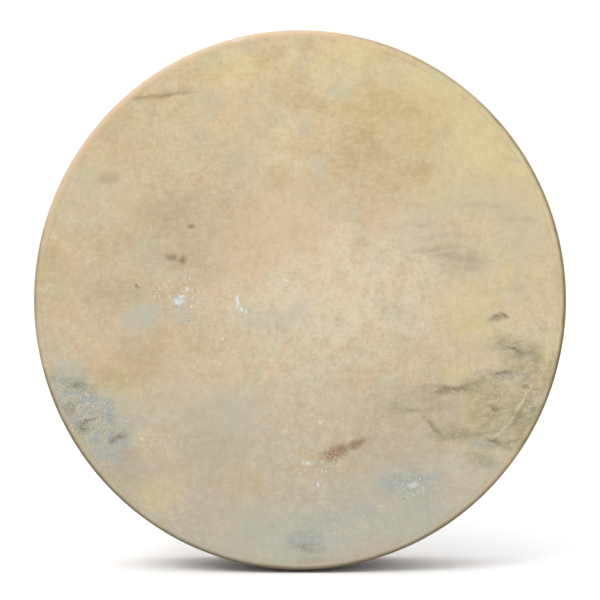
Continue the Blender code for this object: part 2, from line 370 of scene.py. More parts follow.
add_piece("shell_hoop", shell_rows, ash, "shell", fields={"grain": shell_grain})


# Crossbars: two straight beech slats with rounded edges, half-lapped into each other behind the head.
# They brace the hoop, and the player's hand closes round their middle, which has gone dark and smooth.
upright_low, upright_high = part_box("upright_crossbar")
bar_width = upright_high.x - upright_low.x
bar_front = upright_low.y
bar_back = upright_high.y
bar_middle = (bar_front + bar_back) / 2
bar_corner = 0.003
lap_gap = 0.0001
bar_end_gap = 0.0002
bar_rings = 30


def bar_section(corner_steps):
    """A bar's section in order round it, as (across, along the drum's axis) points."""
    half = bar_width / 2 - bar_corner
    deep = (bar_back - bar_front) / 2 - bar_corner
    points = []
    for start, side_x, side_y in ((0, 1, 1), (90, -1, 1), (180, -1, -1), (270, 1, -1)):
        centre = (side_x * half, bar_middle + side_y * deep)
        points += arc(centre, bar_corner, start, start + 90, corner_steps)
    return points


def bar_rows(across_half, along_half, keep_front):
    """Rings of points along a bar, given the hoop's half sizes across and along it.

    A ring point is (across, drum axis, along). The lap's notch keeps the front or the back half.
    """
    section = bar_section(5)
    lap = bar_width / 2 + lap_gap
    limit = bar_middle + (-lap_gap if keep_front else lap_gap)
    pick = min if keep_front else max
    rows = []
    for side in (-1, 1):
        for step in range(bar_rings, -1, -1) if side < 0 else range(bar_rings + 1):
            row = []
            for across, along in section:
                hoop_bow = math.sqrt(1 - (across / (across_half + shell_in)) ** 2)
                end = (along_half + shell_in - bar_end_gap) * hoop_bow
                row.append((across, along, side * (lap + (end - lap) * step / bar_rings)))
            rows.append(row)
        if side < 0:
            for place in [-lap + 2 * lap * step / 12 for step in range(13)]:
                rows.append([(across, pick(along, limit), place) for across, along in section])
    return rows


beech, wood, wire = start_material("beech")
slat = wood.field("grain", "Vector")
drift = slat.speckle((5.0, 60.0, 60.0))
lines = slat.speckle((7.0, 1100.0, 1100.0), 3.0, 0.6)
flecks = slat.speckle((420.0, 3200.0, 3200.0), 1.0).step(0.6, 0.72)
from_lap = slat.axis("X").math("ABSOLUTE")
hand = (from_lap + drift * 0.05).step(0.15, 0.045)
smudge = slat.speckle((40.0, 70.0, 70.0), 5.0, 0.62).step(0.42, 0.68)
beech_colour = (
    wood.plain(0.56, 0.37, 0.205)
    .dye(drift.step(0.3, 0.7), (0.64, 0.44, 0.265))
    .dye(lines.step(0.35, 0.7) * 0.4, (0.42, 0.25, 0.125))
    .dye(flecks * 0.7, (0.27, 0.14, 0.06))
    .dye(hand * 0.38, (0.27, 0.155, 0.075))
    .dye(smudge * (hand * 0.3 + 0.12), (0.16, 0.1, 0.055))
)
beech_bump = (lines * 0.5 - flecks * 0.6).bump(0.5, 0.0001)
wire(Base_Color=beech_colour, Roughness=0.5 - hand * 0.16 + lines * 0.1, Normal=beech_bump)

upright_rows = bar_rows(half_width, half_height, keep_front=True)
upright_grain = [(z, x, y + 0.4) for row in upright_rows for x, y, z in row]
add_piece("upright_slat", upright_rows, beech, "upright_crossbar", fields={"grain": upright_grain})
level_rows = bar_rows(half_height, half_width, keep_front=False)
level_grain = [(z, x + 0.3, y) for row in level_rows for x, y, z in row]
level_rows = [[(z, y, x) for x, y, z in row] for row in level_rows]
add_piece("level_slat", level_rows, beech, "level_crossbar", fields={"grain": level_grain})


# Cup washers and end screws: a pressed brass cup on the shell spreads the pull of each countersunk,
# slotted brass screw, which goes through the shell into the end grain of a crossbar.
washer_low, washer_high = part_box("cup_washer_1")
screw_low, screw_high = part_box("end_screw_1")
washer_seat = washer_low.x - half_width
washer_height = washer_high.x - washer_low.x
washer_radius = (washer_high.y - washer_low.y) / 2
screw_top = screw_high.x - washer_low.x
screw_end = screw_low.x - washer_low.x
screw_head_radius = 0.0039
screw_shank_radius = 0.00175
screw_neck = 0.008
screw_dome = 0.0012
screw_tip = 0.003
cup_wall = 0.0006
cup_play = 0.0002
slot_width = 0.001
slot_depth = 0.0009
turned_sides = 48
thread_pitch = 0.0014
thread_depth = 0.0003
thread_run_in = 0.0002
turned_point = 0.00001  # the tip of a turned profile: small, but still a ring


def seat_matrix(angle, out, along, spin=0):
    """Frame on the hoop's side whose Z points straight out of it, turned about that Z."""
    turn = hoop_normal(angle).to_track_quat("Z", "Y").to_matrix().to_4x4()
    return Matrix.Translation(hoop_point(angle, out, along)) @ turn @ Matrix.Rotation(spin, 4, "Z")


def add_turned(name, node, profile, place, dull_at, bright_at, dent=None, loop=False):
    """A brass piece: a (radius, height) profile turned about the Z of its place.

    Hands and cloths keep it bright where they reach, more and more between the two heights given.
    """
    rows = []
    polish = []
    for radius, height in profile:
        row = []
        for side in range(turned_sides):
            turn = 2 * math.pi * side / turned_sides
            push = dent(radius, height, turn) if dent else 0
            row.append(place @ Vector((radius * math.cos(turn), radius * math.sin(turn), height + push)))
        rows.append(row)
        polish += [min(1, max(0, (height - dull_at) / (bright_at - dull_at)))] * turned_sides
    return add_piece(name, rows, brass, node, loop, {"polish": polish})


def cut_slot(screw, place, top):
    """Saw the driver's slot across the middle of a screw head."""
    bm = bmesh.new()
    bmesh.ops.create_cube(bm, size=1)
    size = Matrix.Diagonal((screw_head_radius * 3, slot_width, slot_depth * 2, 1))
    bmesh.ops.transform(bm, matrix=place @ Matrix.Translation((0, 0, top)) @ size, verts=bm.verts)
    mesh = bpy.data.meshes.new("slot_saw")
    bm.to_mesh(mesh)
    bm.free()
    saw = add_object("slot_saw", mesh)
    boolean = screw.modifiers.new("slot", "BOOLEAN")
    boolean.operation = "DIFFERENCE"
    boolean.solver = "EXACT"
    boolean.object = saw
    sawn = bpy.data.meshes.new_from_object(screw.evaluated_get(bpy.context.evaluated_depsgraph_get()))
    screw.modifiers.clear()
    screw.data = sawn
    sawn.set_sharp_from_angle(angle=math.radians(35))
    bpy.data.objects.remove(saw)


def thread(neck, end):
    """Radius and height points of a wood screw's thread, from under its neck down to its point."""
    core = screw_shank_radius - thread_depth
    start = neck - thread_run_in
    points = []
    for turn in range(int((start - end - screw_tip) / thread_pitch)):
        height = start - turn * thread_pitch
        points += [(core, height), (screw_shank_radius, height - thread_pitch / 2)]
    return points + [(core, end + screw_tip), (0.0001, end)]


brass, metal, wire = start_material("brass")
worn = metal.field("polish")
spot = metal.new("TexCoord", output="Object")
tarnish = spot.speckle(420.0, 5.0, 0.65)
cloudy = spot.speckle(90.0, 3.0)
scratches = spot.speckle((2600.0, 500.0, 900.0), 3.0, 0.6)
dull = (tarnish.step(0.35, 0.7) * 0.7 + cloudy * 0.5) * (1.15 - worn * 0.85)
brass_colour = (
    metal.plain(0.76, 0.55, 0.24)
    .dye(cloudy.step(0.35, 0.65) * 0.5, (0.68, 0.45, 0.19))
    .dye(dull.math("MINIMUM", 0.9), (0.2, 0.125, 0.055))
)
brass_bump = (scratches + tarnish).bump(0.35, 0.00004)
brass_rough = dull * 0.34 + scratches * 0.12 + 0.16
wire(Base_Color=brass_colour, Metallic=1.0, Roughness=brass_rough, Normal=brass_bump)

cone = screw_head_radius - screw_shank_radius
hole = screw_shank_radius + cup_play
lip = screw_head_radius + cup_wall
cup_profile = [
    (hole, 0),
    (hole, 0.0001),
    (screw_head_radius + 0.00015, washer_height - cup_wall / 3),
    (screw_head_radius + 0.0003, washer_height),
    (lip, washer_height),
    (lip + 0.0003, washer_height * 0.9),
    (lip + 0.0006, washer_height * 0.62),
    (lip + 0.001, washer_height * 0.34),
    (washer_radius - 0.0003, washer_height * 0.2),
    (washer_radius, washer_height * 0.12),
    (washer_radius, 0),
]
screw_profile = [(turned_point, screw_top)]
for share in [step / 8 for step in range(1, 9)]:
    screw_profile.append((screw_head_radius * share, screw_top - screw_dome * share**2))
screw_profile += [(screw_head_radius, cone - 0.0001), (screw_shank_radius, 0)]
screw_profile += [(screw_shank_radius, -screw_neck), *thread(-screw_neck, screw_end)]
dome_foot = screw_top - screw_dome * 1.2
for number in range(1, 5):
    place = seat_matrix((number - 1) * math.pi / 2, washer_seat, bar_middle, number)
    cup, screw = f"cup_washer_{number}", f"end_screw_{number}"
    add_turned(f"brass_cup_{number}", cup, cup_profile, place, 0, washer_height, loop=True)
    end_screw = add_turned(f"brass_{screw}", screw, screw_profile, place, dome_foot, screw_top)
    cut_slot(end_screw, place, screw_top)


# Lap screw: a round-head slotted brass screw, driven from the back through the middle of the half lap.
# Its head stands proud of the slats, and its slot has stopped a little off level.
lap_low, lap_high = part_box("lap_screw")
lap_head_height = 0.0026
lap_neck = 0.004
slot_turn = math.radians(20)
lap_seat = lap_high.y - lap_head_height
lap_place = Matrix.Translation((0, lap_seat, 0)) @ Matrix.Rotation(math.radians(-90), 4, "X")
lap_place = lap_place @ Matrix.Rotation(slot_turn, 4, "Z")
lap_profile = [(turned_point, lap_head_height)]
for step in range(1, 11):
    lean = math.radians(90) * step / 10
    lap_profile.append((screw_head_radius * math.sin(lean), lap_head_height * (0.12 + 0.88 * math.cos(lean))))
lap_profile += [(screw_head_radius, 0), (screw_shank_radius, 0), (screw_shank_radius, -lap_neck)]
lap_profile += thread(-lap_neck, lap_low.y - lap_seat)
lap_screw = add_turned("brass_lap_screw", "lap_screw", lap_profile, lap_place, 0, lap_head_height)
cut_slot(lap_screw, lap_place, lap_head_height)


# Head: one goatskin, soaked, stretched over the rounded edge and turned down the shell's side, where
# it dried tight. It is uneven and translucent: stains, veins and scars show, and the wood behind it.
skin_thickness = 0.0011
skirt_end = head_high.y
tack_names = sorted(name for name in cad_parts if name.startswith("tack_"))
tack_pitch = 2 * math.pi / len(tack_names)
columns = len(tack_names) * 16
outer_rings = 80
inner_rings = 40
bearing_out = shell_out - bearing_round
bearing_along = shell_front + bearing_round
dish_depth = 0.0003
sag_lump = 0.00022
pleat_depth = 0.00045
pleat_start = 0.012


def face_dip(x, z, share):
    """How far the stretched skin lies behind its highest plane: a slight dish with low lumps."""
    spot = Vector((x, 0, z))
    lump = noise.noise(spot * 14) * 0.6 + noise.noise(spot * 38 + Vector((7, 0, 3))) * 0.25
    fade = min(1, max(0, (1 - share) / 0.12))
    fade = fade * fade * (3 - 2 * fade)
    return fade * (dish_depth + sag_lump * lump)


def pleat(angle, along):
    """How far the skirt is drawn in: shallow folds that run down the side between the tacks."""
    down = min(1, max(0, (along - bearing_along) / pleat_start))
    phase = angle / tack_pitch
    fold = noise.noise(Vector((phase * 3.1, 0.4, along * 12))) * 0.6
    fold += noise.noise(Vector((phase * 8.3, 3.3, along * 22))) * 0.4
    slack = 0.5 - 0.5 * math.cos(2 * math.pi * (phase - 0.5))
    return down * pleat_depth * max(0, 0.35 + fold) * (0.45 + 0.55 * slack)


def face_ring(share, behind):
    """A ring of the flat skin, at a share of the way out to the rim, and this far behind its face."""
    ring = []
    for column in range(columns):
        rim = hoop_point(2 * math.pi * column / columns, bearing_out, 0)
        dip = face_dip(rim.x * share, rim.z * share, share)
        ring.append((rim.x * share, head_face + dip + behind, rim.z * share))
    return ring


def side_ring(out, along, folded):
    """A ring of the turned-down skin, which follows the pleats as far as folded says."""
    ring = []
    for column in range(columns):
        angle = 2 * math.pi * column / columns
        ring.append(hoop_point(angle, out - folded * pleat(angle, along), along))
    return ring


outer_radius = bearing_along - head_face
inner_radius = outer_radius - skin_thickness
skirt = [bearing_along + (skirt_end - bearing_along) * step / 16 for step in range(1, 17)]
head_rows = [face_ring(ring / outer_rings, 0) for ring in range(outer_rings)]
for out, along in arc((bearing_out, bearing_along), outer_radius, -90, 0, 8):
    head_rows.append(side_ring(out, along, 0))
head_rows += [side_ring(0, along, 1) for along in skirt[:-1]]
head_rows += [side_ring(-0.0002, skirt_end - 0.00015, 1), side_ring(-0.0005, skirt_end, 1)]
outside_rows = len(head_rows)
head_rows += [side_ring(-skin_thickness, along, 0) for along in reversed(skirt)]
for out, along in arc((bearing_out, bearing_along), inner_radius, 0, -90, 6):
    head_rows.append(side_ring(out, along, 0))
head_rows += [face_ring(ring / inner_rings, skin_thickness) for ring in reversed(range(inner_rings))]


# Broad stains of the skin by kind, and the places of the rim's painted highlight and painted shade. Each
# place is, in millimetres from the drum's middle: across, up, half length and half breadth, then its
# strength and, if it is turned, the degrees anticlockwise.
broad_stains = {
    "tan": [
        (72, 130, 46, 30, 0.4, 30), (70, 160, 40, 20, 0.3, 10), (-60, 170, 70, 50, 0.2),
        (-50, 60, 60, 40, 0.2), (8, 167, 15, 5.8, 1), (19, 162, 7.4, 3.7, 0.8), (3, 216, 7.9, 6.6, 0.5),
        (69, 208, 7.4, 4.8, 0.6), (89, 203, 16, 4.8, 0.55, -15), (61, 163, 25, 16, 0.6),
        (77, 166, 19, 11, 0.6), (93, 160, 7.9, 10, 0.8), (48, 131, 20, 16, 0.9, 25),
        (52, 119, 25, 13, 0.6, 10), (32, 107, 4, 2.9, 0.9), (101, 105, 14, 10, 0.85, 20),
        (66, 89, 24, 19, 0.5), (114, 139, 15, 8, 0.4), (40, 77, 16, 10, 0.35), (57, 70, 5.8, 6.4, 0.5),
        (69, 131, 58, 53, 0.22), (16, 97, 19, 13, 0.3), (3, 131, 16, 13, 0.3), (-28, 203, 10, 13, 0.6),
        (-10, 180, 16, 16, 0.55), (-93, 189, 12, 4.2, 0.45, 8), (-123, 173, 34, 2.9, 0.6, 7),
        (-102, 163, 3.7, 8, 0.5), (-105, 156, 3.7, 4.8, 0.6), (-19, 102, 13, 10, 0.6),
        (-115, 107, 11, 7.9, 0.5), (-94, 97, 19, 16, 0.3), (-211, 43, 6.4, 6.4, 0.9), (-216, 29, 15, 13, 0.5),
        (-64, 118, 21, 16, 0.4), (-135, 125, 19, 12, 0.35), (-155, 149, 16, 13, 0.35),
        (-126, 81, 29, 16, 0.25), (-168, 52, 32, 13, 0.35), (-73, 89, 32, 19, 0.25),
        (-52, 150, 16, 21, 0.25, 20), (-150, -59, 30, 19, 0.6), (-158, -68, 16, 11, 0.4),
        (-121, -48, 16, 16, 0.4), (-145, -131, 11, 7.9, 0.7), (-89, -115, 32, 29, 0.3),
        (-205, -2, 13, 21, 0.35), (-73, -33, 42, 16, 0.25), (-68, -123, 32, 16, 0.3),
        (-47, -158, 24, 13, 0.3), (87, -44, 16, 11, 0.25), (103, -40, 7.9, 4.8, 0.3),
        (54, -63, 11, 7.9, 0.25), (40, -72, 16, 7.9, 0.25), (217, 12, 6.9, 16, 0.4),
    ],
    "peach": [
        (190, 76, 30, 30, 0.25), (-12, 73, 32, 29, 0.55), (-41, 47, 53, 32, 0.5), (-55, 158, 32, 24, 0.3),
        (69, 68, 16, 11, 0.7), (16, 55, 16, 16, 0.5), (8, 89, 16, 16, 0.4), (11, 52, 32, 21, 0.3),
        (191, 94, 11, 11, 0.5), (-203, 25, 16, 16, 0.4), (-166, -45, 16, 11, 0.5), (-203, -12, 12, 12, 0.4),
        (-89, -68, 32, 16, 0.35), (-57, 12, 26, 16, 0.7), (-110, -7, 32, 16, 0.35), (-110, -139, 16, 11, 0.3),
        (204, 4, 7.9, 13, 0.6), (16, 1, 32, 21, 0.3), (132, -163, 16, 7.9, 0.4, 40),
    ],
    "yellow": [
        (70, 185, 70, 36, 0.25, -25), (130, 130, 60, 40, 0.3, -50), (185, 60, 50, 70, 0.3),
        (156, 134, 24, 22, 0.8), (138, 164, 17, 12, 0.55), (114, 93, 24, 11, 0.55), (111, 179, 21, 11, 0.5),
        (185, 107, 16, 8, 0.5), (172, 23, 7.9, 13, 0.6), (193, 89, 10, 24, 0.4, 65), (42, 205, 24, 11, 0.35),
        (130, 25, 6.4, 11, 0.3), (-65, 200, 32, 16, 0.3), (-171, 113, 16, 11, 0.3), (-147, 78, 16, 12, 0.3),
        (144, 1, 16, 16, 0.5), (146, -23, 13, 9, 0.7), (148, -15, 29, 29, 0.4), (132, -63, 15, 6.9, 0.6),
        (148, -94, 12, 11, 0.95), (148, -110, 11, 5.3, 0.5), (159, -84, 24, 19, 0.4),
        (209, -47, 5.3, 21, 0.5, -5), (-121, -166, 20, 16, 0.55), (-150, -73, 16, 19, 0.3),
    ],
    "cool": [
        (159, 88, 40, 16, 0.5), (106, 56, 29, 16, 0.55), (138, 33, 25, 14, 0.6), (185, 55, 21, 24, 0.6),
        (5, 149, 8, 8, 0.8), (19, 110, 8, 14, 0.8), (45, 76, 8, 6.9, 0.7), (169, 74, 24, 6.9, 0.4),
        (148, 150, 11, 16, 0.3), (183, 44, 3.7, 26, 0.5), (183, 12, 5.3, 16, 0.4), (34, 184, 19, 11, 0.35),
        (71, 192, 16, 9, 0.5), (-78, 170, 16, 11, 0.6), (-89, 146, 13, 16, 0.45), (-174, 89, 34, 29, 0.45),
        (-52, 110, 21, 16, 0.4), (-97, 85, 16, 11, 0.4), (-28, 156, 25, 11, 0.4), (-52, 215, 16, 5.8, 0.5),
        (-129, 35, 16, 11, 0.5), (-47, 131, 16, 21, 0.4), (-68, 55, 11, 16, 0.3), (-47, -94, 22, 19, 0.7),
        (-118, -143, 34, 8, 0.5), (-208, -40, 11, 11, 0.5), (-105, -102, 13, 26, 0.3),
        (-52, -142, 42, 26, 0.3), (172, -44, 24, 6.9, 0.4), (87, -89, 16, 12, 0.4, -45),
        (127, -100, 13, 11, 0.4), (90, -15, 16, 13, 0.3), (32, -94, 24, 16, 0.3), (159, -139, 16, 8, 0.7),
        (53, -147, 26, 6.4, 0.3), (183, 12, 4.2, 19, 0.6),
    ],
    "dusk": [
        (-118, -6, 30, 20, 0.35), (-88, 20, 30, 14, 0.2), (-150, -100, 20, 16, 0.3),
        (135, -93, 34, 22, 0.4, 10), (58, -134, 34, 18, 0.2, 20), (95, -60, 50, 16, 0.15, 20),
        (-130, 150, 60, 40, 0.28, 30), (-100, 70, 44, 30, 0.28), (-125, 40, 40, 24, 0.25),
        (-60, 75, 24, 40, 0.15), (-170, -135, 40, 30, 0.25, -40), (-135, -150, 40, 24, 0.2, -30),
        (-110, 73, 24, 14, 0.5), (-118, 62, 16, 11, 0.3), (-164, 102, 9, 6.4, 0.9), (-168, 61, 2.6, 2.6, 0.6),
        (-89, 52, 24, 13, 0.3), (-81, 25, 16, 13, 0.35), (-195, 28, 16, 13, 0.3), (132, 35, 21, 2.9, 0.8, -6),
        (111, 41, 24, 2.6, 0.7, 6), (124, 53, 21, 2.1, 0.5, 8), (102, 64, 16, 2.1, 0.4, 5),
        (138, 32, 16, 7.9, 0.6), (156, 78, 24, 2.4, 0.4, -4), (185, 68, 16, 2.6, 0.3, 8),
        (169, 7, 26, 3.2, 0.3), (-102, 36, 16, 9, 0.3), (-160, 1, 24, 16, 0.35), (-150, 12, 32, 11, 0.3),
        (-131, -33, 16, 16, 0.3), (-76, -131, 24, 16, 0.25), (48, -49, 24, 16, 0.2, 40),
        (64, -97, 16, 24, 0.25, -30), (87, -105, 11, 19, 0.3, 20), (40, -166, 24, 7.9, 0.25),
    ],
    "mist": [
        (84, -152, 50, 20, 0.4, 10), (-68, -100, 30, 24, 0.4), (-156, -90, 20, 14, 0.35),
        (62, -186, 120, 30, 0.5, 17), (-25, -196, 90, 26, 0.35, -8), (-95, -110, 50, 40, 0.25),
        (-133, -15, 15, 10, 1), (-146, -11, 7.9, 6.4, 0.7), (-102, -12, 8, 12, 0.8), (-25, -15, 29, 11, 0.55),
        (-33, -18, 8, 6.4, 0.6), (3, -12, 7.9, 16, 0.5), (-197, -55, 14, 8, 0.5), (-145, -102, 11, 16, 0.4),
        (-166, -126, 13, 10, 0.5), (-52, -86, 11, 7.9, 0.4), (-55, -104, 10, 5.3, 0.4),
        (79, -155, 32, 13, 0.9, 5), (93, -187, 37, 16, 0.9), (40, -182, 42, 16, 0.7),
        (124, -153, 16, 16, 0.5), (148, -174, 16, 6.4, 0.3, 40), (8, -208, 32, 13, 0.8),
        (159, -139, 11, 6.4, 0.4), (111, -208, 24, 6.4, 0.6, 20), (-20, -195, 40, 16, 0.9),
        (-4, -211, 16, 11, 0.8), (-52, -208, 32, 7.9, 0.5, -12),
    ],
    "blue": [
        (-190, -88, 26, 16, 0.8, -30), (-168, -112, 26, 18, 0.8, -45), (-196, -70, 18, 16, 0.6),
        (-150, -135, 26, 14, 0.3, -40), (-184, -80, 16, 7.9, 1, -25), (-190, -70, 12, 6.4, 0.5),
        (-168, -93, 14, 11, 0.85), (-179, -100, 13, 7.9, 0.7), (-160, -89, 6.4, 6.9, 0.7),
        (-168, -115, 12, 7.9, 0.5), (-158, -115, 6.9, 4.2, 0.4), (-166, -131, 6.4, 4.2, 0.5),
        (90, -155, 24, 8, 0.8, 8), (77, -153, 12, 3.7, 0.5), (106, -168, 16, 7.9, 0.3),
        (5, -205, 13, 10, 0.9), (19, -187, 16, 7.9, 0.5), (50, -179, 16, 6.4, 0.3),
        (185, -41, 11, 3.7, 0.5, -10), (172, -61, 11, 2.6, 0.7), (185, -65, 13, 4.8, 0.4),
        (195, -85, 3.7, 11, 0.4, -30), (156, -121, 12, 3.2, 0.5), (161, -142, 7.9, 3.7, 0.4),
        (-2, -203, 7.9, 6.4, 0.7), (-105, -2, 5.3, 6.9, 0.6),
    ],
    "olive": [
        (183, -40, 22, 8, 0.8, -8), (191, -52, 19, 12, 0.6), (196, -70, 12, 19, 0.55),
        (164, -63, 25, 4.2, 0.55, 6), (148, -70, 19, 5.3, 0.5, 10), (127, -74, 20, 3.4, 0.8),
        (140, -76, 11, 4.2, 0.6), (111, -85, 16, 9, 0.35), (164, -73, 21, 9, 0.45), (159, -89, 17, 16, 0.6),
        (164, -102, 16, 12, 0.6), (185, -97, 16, 16, 0.95), (196, -100, 7.9, 15, 0.8, -30),
        (90, -93, 15, 3.7, 0.5, -5), (79, -89, 11, 3.7, 0.3, 40), (112, -107, 13, 2.6, 0.7, -45),
        (122, -115, 16, 4.2, 0.6, 5), (132, -110, 16, 6.4, 0.4), (148, -113, 23, 4.8, 0.6),
        (172, -121, 24, 4.8, 0.7, 6), (154, -135, 12, 6.9, 0.6, -20), (101, -76, 24, 4.2, 0.3, 25),
        (169, -14, 7.9, 3.2, 0.8), (93, -142, 11, 3.7, 0.2), (8, -211, 12, 3.7, 0.6), (8, -221, 11, 3.7, 0.4),
        (212, -63, 5.3, 16, 0.7, -15), (-194, -70, 10, 5.3, 0.5), (-183, -108, 5.3, 4.8, 0.8),
        (-192, -92, 3.7, 6.9, 0.6), (-155, -115, 7.9, 3.2, 0.5), (-170, -100, 13, 6.4, 0.3),
        (-179, -76, 7.9, 5.3, 0.4),
    ],
    # Where the warm band over the wood is strongest: partly the skin over the wood, partly painted highlight
    # at the upper left
    "warm_band_and_highlight": [(-160, 170, 130, 60, 1, 45), (160, -170, 110, 50, 0.5, -45), (0, 235, 90, 30, 0.6)],
    # Where the rim's outer edge is darkened: partly handling dirt, partly painted shade, most at the right
    # and lower edges
    "rim_dirt_and_shade": [
        (232, -20, 60, 130, 1), (190, 125, 60, 60, 0.8), (-190, -120, 80, 70, 0.9), (110, -200, 120, 60, 0.5),
        (-90, -215, 90, 50, 0.5), (-228, 20, 30, 50, 0.5), (100, 205, 60, 40, 0.5),
    ],
    "flecks": [
        (-100, 3, 24, 20, 1), (-52, -2, 16, 18, 0.9), (16, -138, 22, 14, 0.9), (97, -157, 20, 11, 1),
        (-184, -98, 34, 30, 0.8, -40), (-122, -120, 24, 12, 0.7), (-12, 16, 20, 14, 0.5),
        (18, -105, 14, 8, 0.5), (182, -80, 30, 30, 0.4), (-60, 100, 30, 30, 0.4), (-50, 214, 20, 8, 0.6, 10),
        (30, -180, 60, 30, 0.4),
    ],
    "specks": [
        (-185, -92, 34, 36, 1), (150, -90, 50, 34, 0.8), (-92, 70, 18, 18, 0.7), (-75, 28, 40, 22, 0.7),
        (-95, -12, 34, 18, 0.8), (102, -158, 30, 18, 0.7), (5, -205, 40, 16, 0.5),
    ],
}


def lies_in(x, z, places):
    """How strong one kind of broad mark is, from 0 to 1, at points in millimetres from the middle."""
    clear = np.ones(len(x))
    for across, up, half_length, half_breadth, strength, *turn in places:
        lean = math.radians(turn[0]) if turn else 0
        along = ((x - across) * math.cos(lean) + (z - up) * math.sin(lean)) / half_length
        beside = ((z - up) * math.cos(lean) - (x - across) * math.sin(lean)) / half_breadth
        near = np.clip(1.5 - np.hypot(along, beside), 0, 1)
        clear *= 1 - strength * near * near * (3 - 2 * near)
    return 1 - clear


noise.seed_set(28)
head_points = [Vector(point) for row in head_rows for point in row]
strays = [noise.noise_vector(point * 33) * 5 + noise.noise_vector(point * 90) * 2.4 for point in head_points]
stray_x = np.array([point.x * 1000 + stray.x for point, stray in zip(head_points, strays)])
stray_z = np.array([point.z * 1000 + stray.z for point, stray in zip(head_points, strays)])
head_fields = {kind: list(lies_in(stray_x, stray_z, places)) for kind, places in broad_stains.items()}
flesh_rows = len(head_rows) - outside_rows
head_fields["flesh_side"] = [0.0] * outside_rows * columns + [1.0] * flesh_rows * columns


def paint(red, green, blue):
    """Linear colour for a shader, from the 0 to 255 numbers of a paint card."""
    card = [value / 255 for value in (red, green, blue)]
    return tuple(v / 12.92 if v <= 0.04045 else ((v + 0.055) / 1.055) ** 2.4 for v in card)


# Noises over the skin, on its coordinates in millimetres: as they are, flat, quivering or turned
skin, hide, wire = start_material("dried_goatskin")
place = hide.new("TexCoord", output="Object").vector("MULTIPLY", (1000, 1000, 1000))
flat = place.vector("MULTIPLY", (1.0, 0.0, 1.0))
quiver = flat.speckle(0.13, 3.0, 0.6, output="Color").vector("SUBTRACT", (0.5, 0.5, 0.5))
firm = flat.vector("ADD", quiver.vector("MULTIPLY", (7.0, 0.0, 7.0)))
lie = hide.new("VectorRotate", {"rotation_type": "Y_AXIS"}, {"Vector": flat, "Angle": 0.2})
ragged = lie.speckle((0.11, 0.0, 0.2), 6.0, 0.68)
fine_rag = flat.speckle(0.5, 5.0, 0.65)
mottle = place.speckle(0.033, 5.0, 0.6)
cast = place.vector("ADD", (90.0, 0.0, 40.0)).speckle(0.04, 5.0, 0.6)
blotch = place.vector("ADD", (30.0, 9.0, 70.0)).speckle(0.09, 5.0, 0.62)
grainy = place.speckle(0.3, 5.0, 0.66)
pore = place.speckle(1.3, 2.0, 0.5)


def marks(places):
    """Where one kind of small mark lies on the skin; its places are given as the broad stains' are."""
    found = None
    for across, up, half_length, half_breadth, strength, *turn in places:
        away = firm.vector("SUBTRACT", (across, 0, up))
        if turn:
            spin = {"Vector": away, "Angle": math.radians(turn[0])}
            away = hide.new("VectorRotate", {"rotation_type": "Y_AXIS"}, spin)
        away = away.vector("MULTIPLY", (0.8 / half_length, 0, 0.8 / half_breadth))
        mark = away.vector("LENGTH", output="Value").step(0.1, 1.0, strength, 0.0)
        found = mark if found is None else found.math("MAXIMUM", mark)
    return found


# Ground colour: paler and pinker in the middle, yellower above, greyer below. The lighter middle and top
# and the darker bottom are partly painted light and shade, partly the skin's own tone
up_down = firm.axis("Z")
left_right = firm.axis("X")
from_middle = firm.vector("SUBTRACT", (38, 0, 6)).vector("MULTIPLY", (1 / 150, 0, 1 / 115))
middle = from_middle.vector("LENGTH", output="Value")
hide_colour = (
    hide.plain(*paint(204, 187, 156))
    .dye(up_down.step(20, 190) * 0.85, paint(218, 200, 154))
    .dye(up_down.step(-10, -200) * 0.9, paint(186, 180, 163))
    .dye(left_right.step(-90, -215) * 0.5, paint(198, 179, 143))
    .dye(left_right.step(100, 200) * 0.45, paint(222, 208, 170))
    .dye(middle.step(1.1, 0.1) * 0.95, paint(219, 206, 177))
)

# Cloudiness, which drifts between warm and cool, then fibres and pores
hide_colour = (
    hide_colour.dye(mottle.step(0.48, 0.66) * 0.5, paint(212, 185, 146))
    .dye(cast.step(0.5, 0.66) * 0.55, paint(194, 190, 160))
    .dye(blotch.step(0.5, 0.34) * 0.4, paint(188, 167, 132))
    .dye(blotch.step(0.52, 0.68) * 0.35, paint(220, 208, 178))
    .dye(grainy.step(0.52, 0.34) * 0.32, paint(176, 157, 124))
    .dye(grainy.step(0.52, 0.68) * 0.3, paint(228, 215, 190))
    .dye(pore.step(0.5, 0.7) * 0.15, paint(165, 143, 108))
)

# Broad stains: how much of each kind is left in the gaps of the ragged noise, how far it hides the
# skin, and its colour. The murk of the lower edge has darker and lighter grain.
for kind, gaps, share, card in (
    ("peach", 0.6, 0.5, (217, 186, 152)),
    ("yellow", 0.6, 0.55, (216, 202, 140)),
    ("tan", 0.5, 0.55, (183, 153, 105)),
    ("cool", 0.6, 0.6, (190, 184, 160)),
    ("dusk", 0.55, 0.58, (162, 147, 120)),
    ("mist", 0.5, 0.62, (184, 186, 175)),
    ("blue", 0.3, 0.78, (156, 166, 164)),
    ("olive", 0.35, 0.64, (134, 129, 93)),
):
    laid = hide.field(kind) * ragged.step(0.36, 0.62, gaps, 1.2)
    hide_colour = hide_colour.dye(laid * share, paint(*card))
murk = hide.field("blue") + hide.field("olive") * 0.8
hide_colour = hide_colour.dye(murk * fine_rag.step(0.54, 0.68) * 0.55, paint(122, 118, 96))
hide_colour = hide_colour.dye(murk * fine_rag.step(0.46, 0.33) * 0.5, paint(202, 198, 180))

